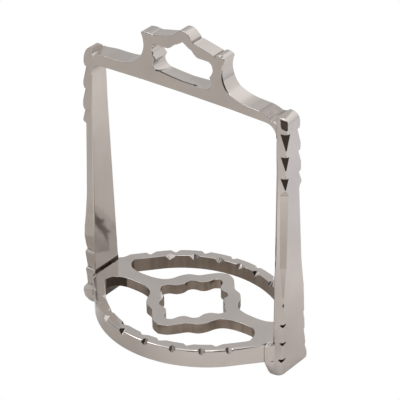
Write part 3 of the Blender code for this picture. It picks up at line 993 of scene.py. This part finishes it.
def floor_colour(make, position):
    """The floor's colour with light and shade painted in: warm where the painted shade is dark, a
    painted cool light at the rear right, painted grey shade far in front.
    """
    x, y, _ = make.new("SeparateXYZ", {"Vector": position}).outputs
    lean = make.combine("SUBTRACT", x, make.combine("MULTIPLY", y, 0.787))
    ramp = make.new("ValToRGB", {"Fac": painted_floor_light_level(make, position, x, y, lean)})
    stops = ramp.color_ramp.elements
    stops = (stops[0], stops[1], stops.new(0.5), stops.new(0.6))
    for stop, (place, colour) in zip(stops, PAINTED_FLOOR_LIGHT_TONES):
        stop.position = place
        stop.color = (*colour, 1)
    painted_cool_light_right_rear = make.combine("MULTIPLY", make.step(y, 0.04, 0.16, 0.0, 1.0),
                              make.step(lean, -0.02, 0.04, 0.0, 1.0))
    colour = make.mix(ramp.outputs["Color"], PAINTED_COOL_LIGHT_TINT, painted_cool_light_right_rear, "MULTIPLY")
    painted_far_front_shade = make.step(x, -0.40, -0.10, 0.40, 0.30)
    return make.mix(painted_far_front_shade, colour, make.step(y, -0.62, -0.48, 0.0, 1.0))


def make_floor():
    """A pale floor that the camera sees as pure white; the steel sees it with light and shade
    painted into its colour.
    """
    under = FLOOR_LEVEL * MM - FLOOR_BELOW_IRON
    bpy.ops.mesh.primitive_plane_add(size=FLOOR_SIZE, location=(0, 0, under))
    floor = bpy.context.object
    floor.name = "studio_floor"
    material = bpy.data.materials.new("floor_paper")
    material.use_nodes = True
    material.node_tree.nodes.clear()
    make = NodeMaker(material.node_tree)
    where = make.new("NewGeometry", {}).outputs["Position"]
    paper = make.new("BsdfDiffuse", {"Color": floor_colour(make, where)})
    white = make.new("Emission", {"Color": WHITE, "Strength": 1.0})
    make.show(paper.outputs["BSDF"], white.outputs["Emission"], "OutputMaterial")
    floor.data.materials.append(material)


def tent_level(make, direction):
    """How bright the tent is in each direction that the steel mirrors."""
    x, y, z = make.new("SeparateXYZ", {"Vector": direction}).outputs
    walls = make.combine("MULTIPLY", make.step(x, -0.60, -0.14, 0.68, 1.24),
                         make.step(x, 0.2, 0.7, 1.0, 0.82))
    # the dark room in front, below the tent's roof
    behind = make.step(y, -0.40, -0.10, 0.0, 1.0)
    roof = make.step(z, 0.42, 0.54, 0.0, 1.0)
    room = make.combine("MAXIMUM", make.combine("MAXIMUM", behind, roof),
                        make.step(x, -0.45, -0.15, 0.50, 0.03))
    # a grey card low down in the room, and a lighter wing on its right
    card = make.combine("MULTIPLY", make.step(x, -0.34, -0.18, 0.0, 0.5),
                        make.step(x, 0.14, 0.30, 1.0, 0.0))
    card = make.combine("MULTIPLY", card, make.step(z, 0.20, 0.40, 1.0, 0.0))
    low = make.step(z, 0.28, 0.38, 1.0, 0.0)
    wing = make.combine("MULTIPLY", make.step(x, 0.30, 0.50, 0.0, 0.45), low)
    room = make.combine("MAXIMUM", make.combine("MAXIMUM", room, card), wing)
    # the round opening in front, dark but for its lowest part
    gap = make.compare("DOT_PRODUCT", direction, towards(OPENING_AZIMUTH, OPENING_ELEVATION))
    opening = make.combine("MAXIMUM", make.step(gap, OPENING_RIM, OPENING_INSIDE, 1.0, 0.03), low)
    return make.combine("MULTIPLY", make.combine("MULTIPLY", walls, room), opening)


def make_world():
    """A white tent around the iron, with a dark room in front of it."""
    world = bpy.data.worlds.new("tent")
    bpy.context.scene.world = world
    world.use_nodes = True
    world.node_tree.nodes.clear()
    make = NodeMaker(world.node_tree)
    where = make.new("TexCoord", {}).outputs["Generated"]
    tent = make.new("Background", {"Color": TENT_TINT, "Strength": tent_level(make, where)})
    white = make.new("Background", {"Color": WHITE})
    make.show(tent.outputs["Background"], white.outputs["Background"], "OutputWorld")


def add_softbox(name, direction, distance, size, power, mirrored):
    """A lamp aimed at the iron; mirrored says whether the steel shows it as well."""
    data = bpy.data.lights.new(name, "AREA")
    data.shape = "RECTANGLE"
    data.size, data.size_y = size
    data.energy = power
    lamp = bpy.data.objects.new(name, data)
    bpy.context.collection.objects.link(lamp)
    away = Vector(direction).normalized()
    lamp.location = Vector(LAMP_AIM) + away * distance
    lamp.visible_glossy = mirrored
    lamp.rotation_mode = "QUATERNION"
    lamp.rotation_quaternion = away.to_track_quat("Z", "Y")


def make_camera():
    """A long lens from the front right, turned a little round its own axis."""
    data = bpy.data.cameras.new("camera")
    data.sensor_width = CAMERA_SENSOR
    data.lens = CAMERA_LENS
    data.clip_start, data.clip_end = 0.05, 20.0
    camera = bpy.data.objects.new("camera", data)
    bpy.context.collection.objects.link(camera)
    back = Vector(towards(CAMERA_AZIMUTH, CAMERA_ELEVATION))
    level_right = Vector((cos(CAMERA_AZIMUTH), sin(CAMERA_AZIMUTH), 0))
    level_up = back.cross(level_right)
    right = level_right * cos(CAMERA_ROLL) + level_up * sin(CAMERA_ROLL)
    up = level_up * cos(CAMERA_ROLL) - level_right * sin(CAMERA_ROLL)
    target = Vector((0, 0, CAMERA_AIM_ABOVE_TREAD + TREAD_LEVEL * MM))
    target += right * CAMERA_SIDESTEP - up * CAMERA_DROP
    turn = Matrix((right, up, back)).transposed().to_4x4()
    camera.matrix_world = Matrix.Translation(target + back * CAMERA_DISTANCE) @ turn
    bpy.context.scene.camera = camera


make_top_bar()
make_upright("left_upright", -1, UPRIGHT_TOP + 3.0, (5.4, 8.0), (5.4, 8.0), (4.6, 5.0), 0.0, 0.0)
make_upright("right_upright", 1, UPRIGHT_TOP, (4.6, 4.6), (2.4, 2.4), (0.25, 0.25), 1.0, 1.3)
make_bow("front_bow", -1, OUTER_NICKS, INNER_NICKS)
make_bow("rear_bow", 1, REAR_OUTER_NICKS, REAR_INNER_NICKS)
make_tread()

make_floor()
make_world()
add_softbox("key", (-0.534, -0.50, 0.72), 1.6, (0.7, 0.7), 5.0, True)
add_softbox("top", (0.1, 0.35, 0.95), 1.5, (0.9, 0.9), 5.0, False)
add_softbox("front", (0.20, -0.36, 0.83), 1.6, (0.4, 0.4), 2.0, True)
make_camera()
bpy.context.scene.view_settings.view_transform = "Standard"
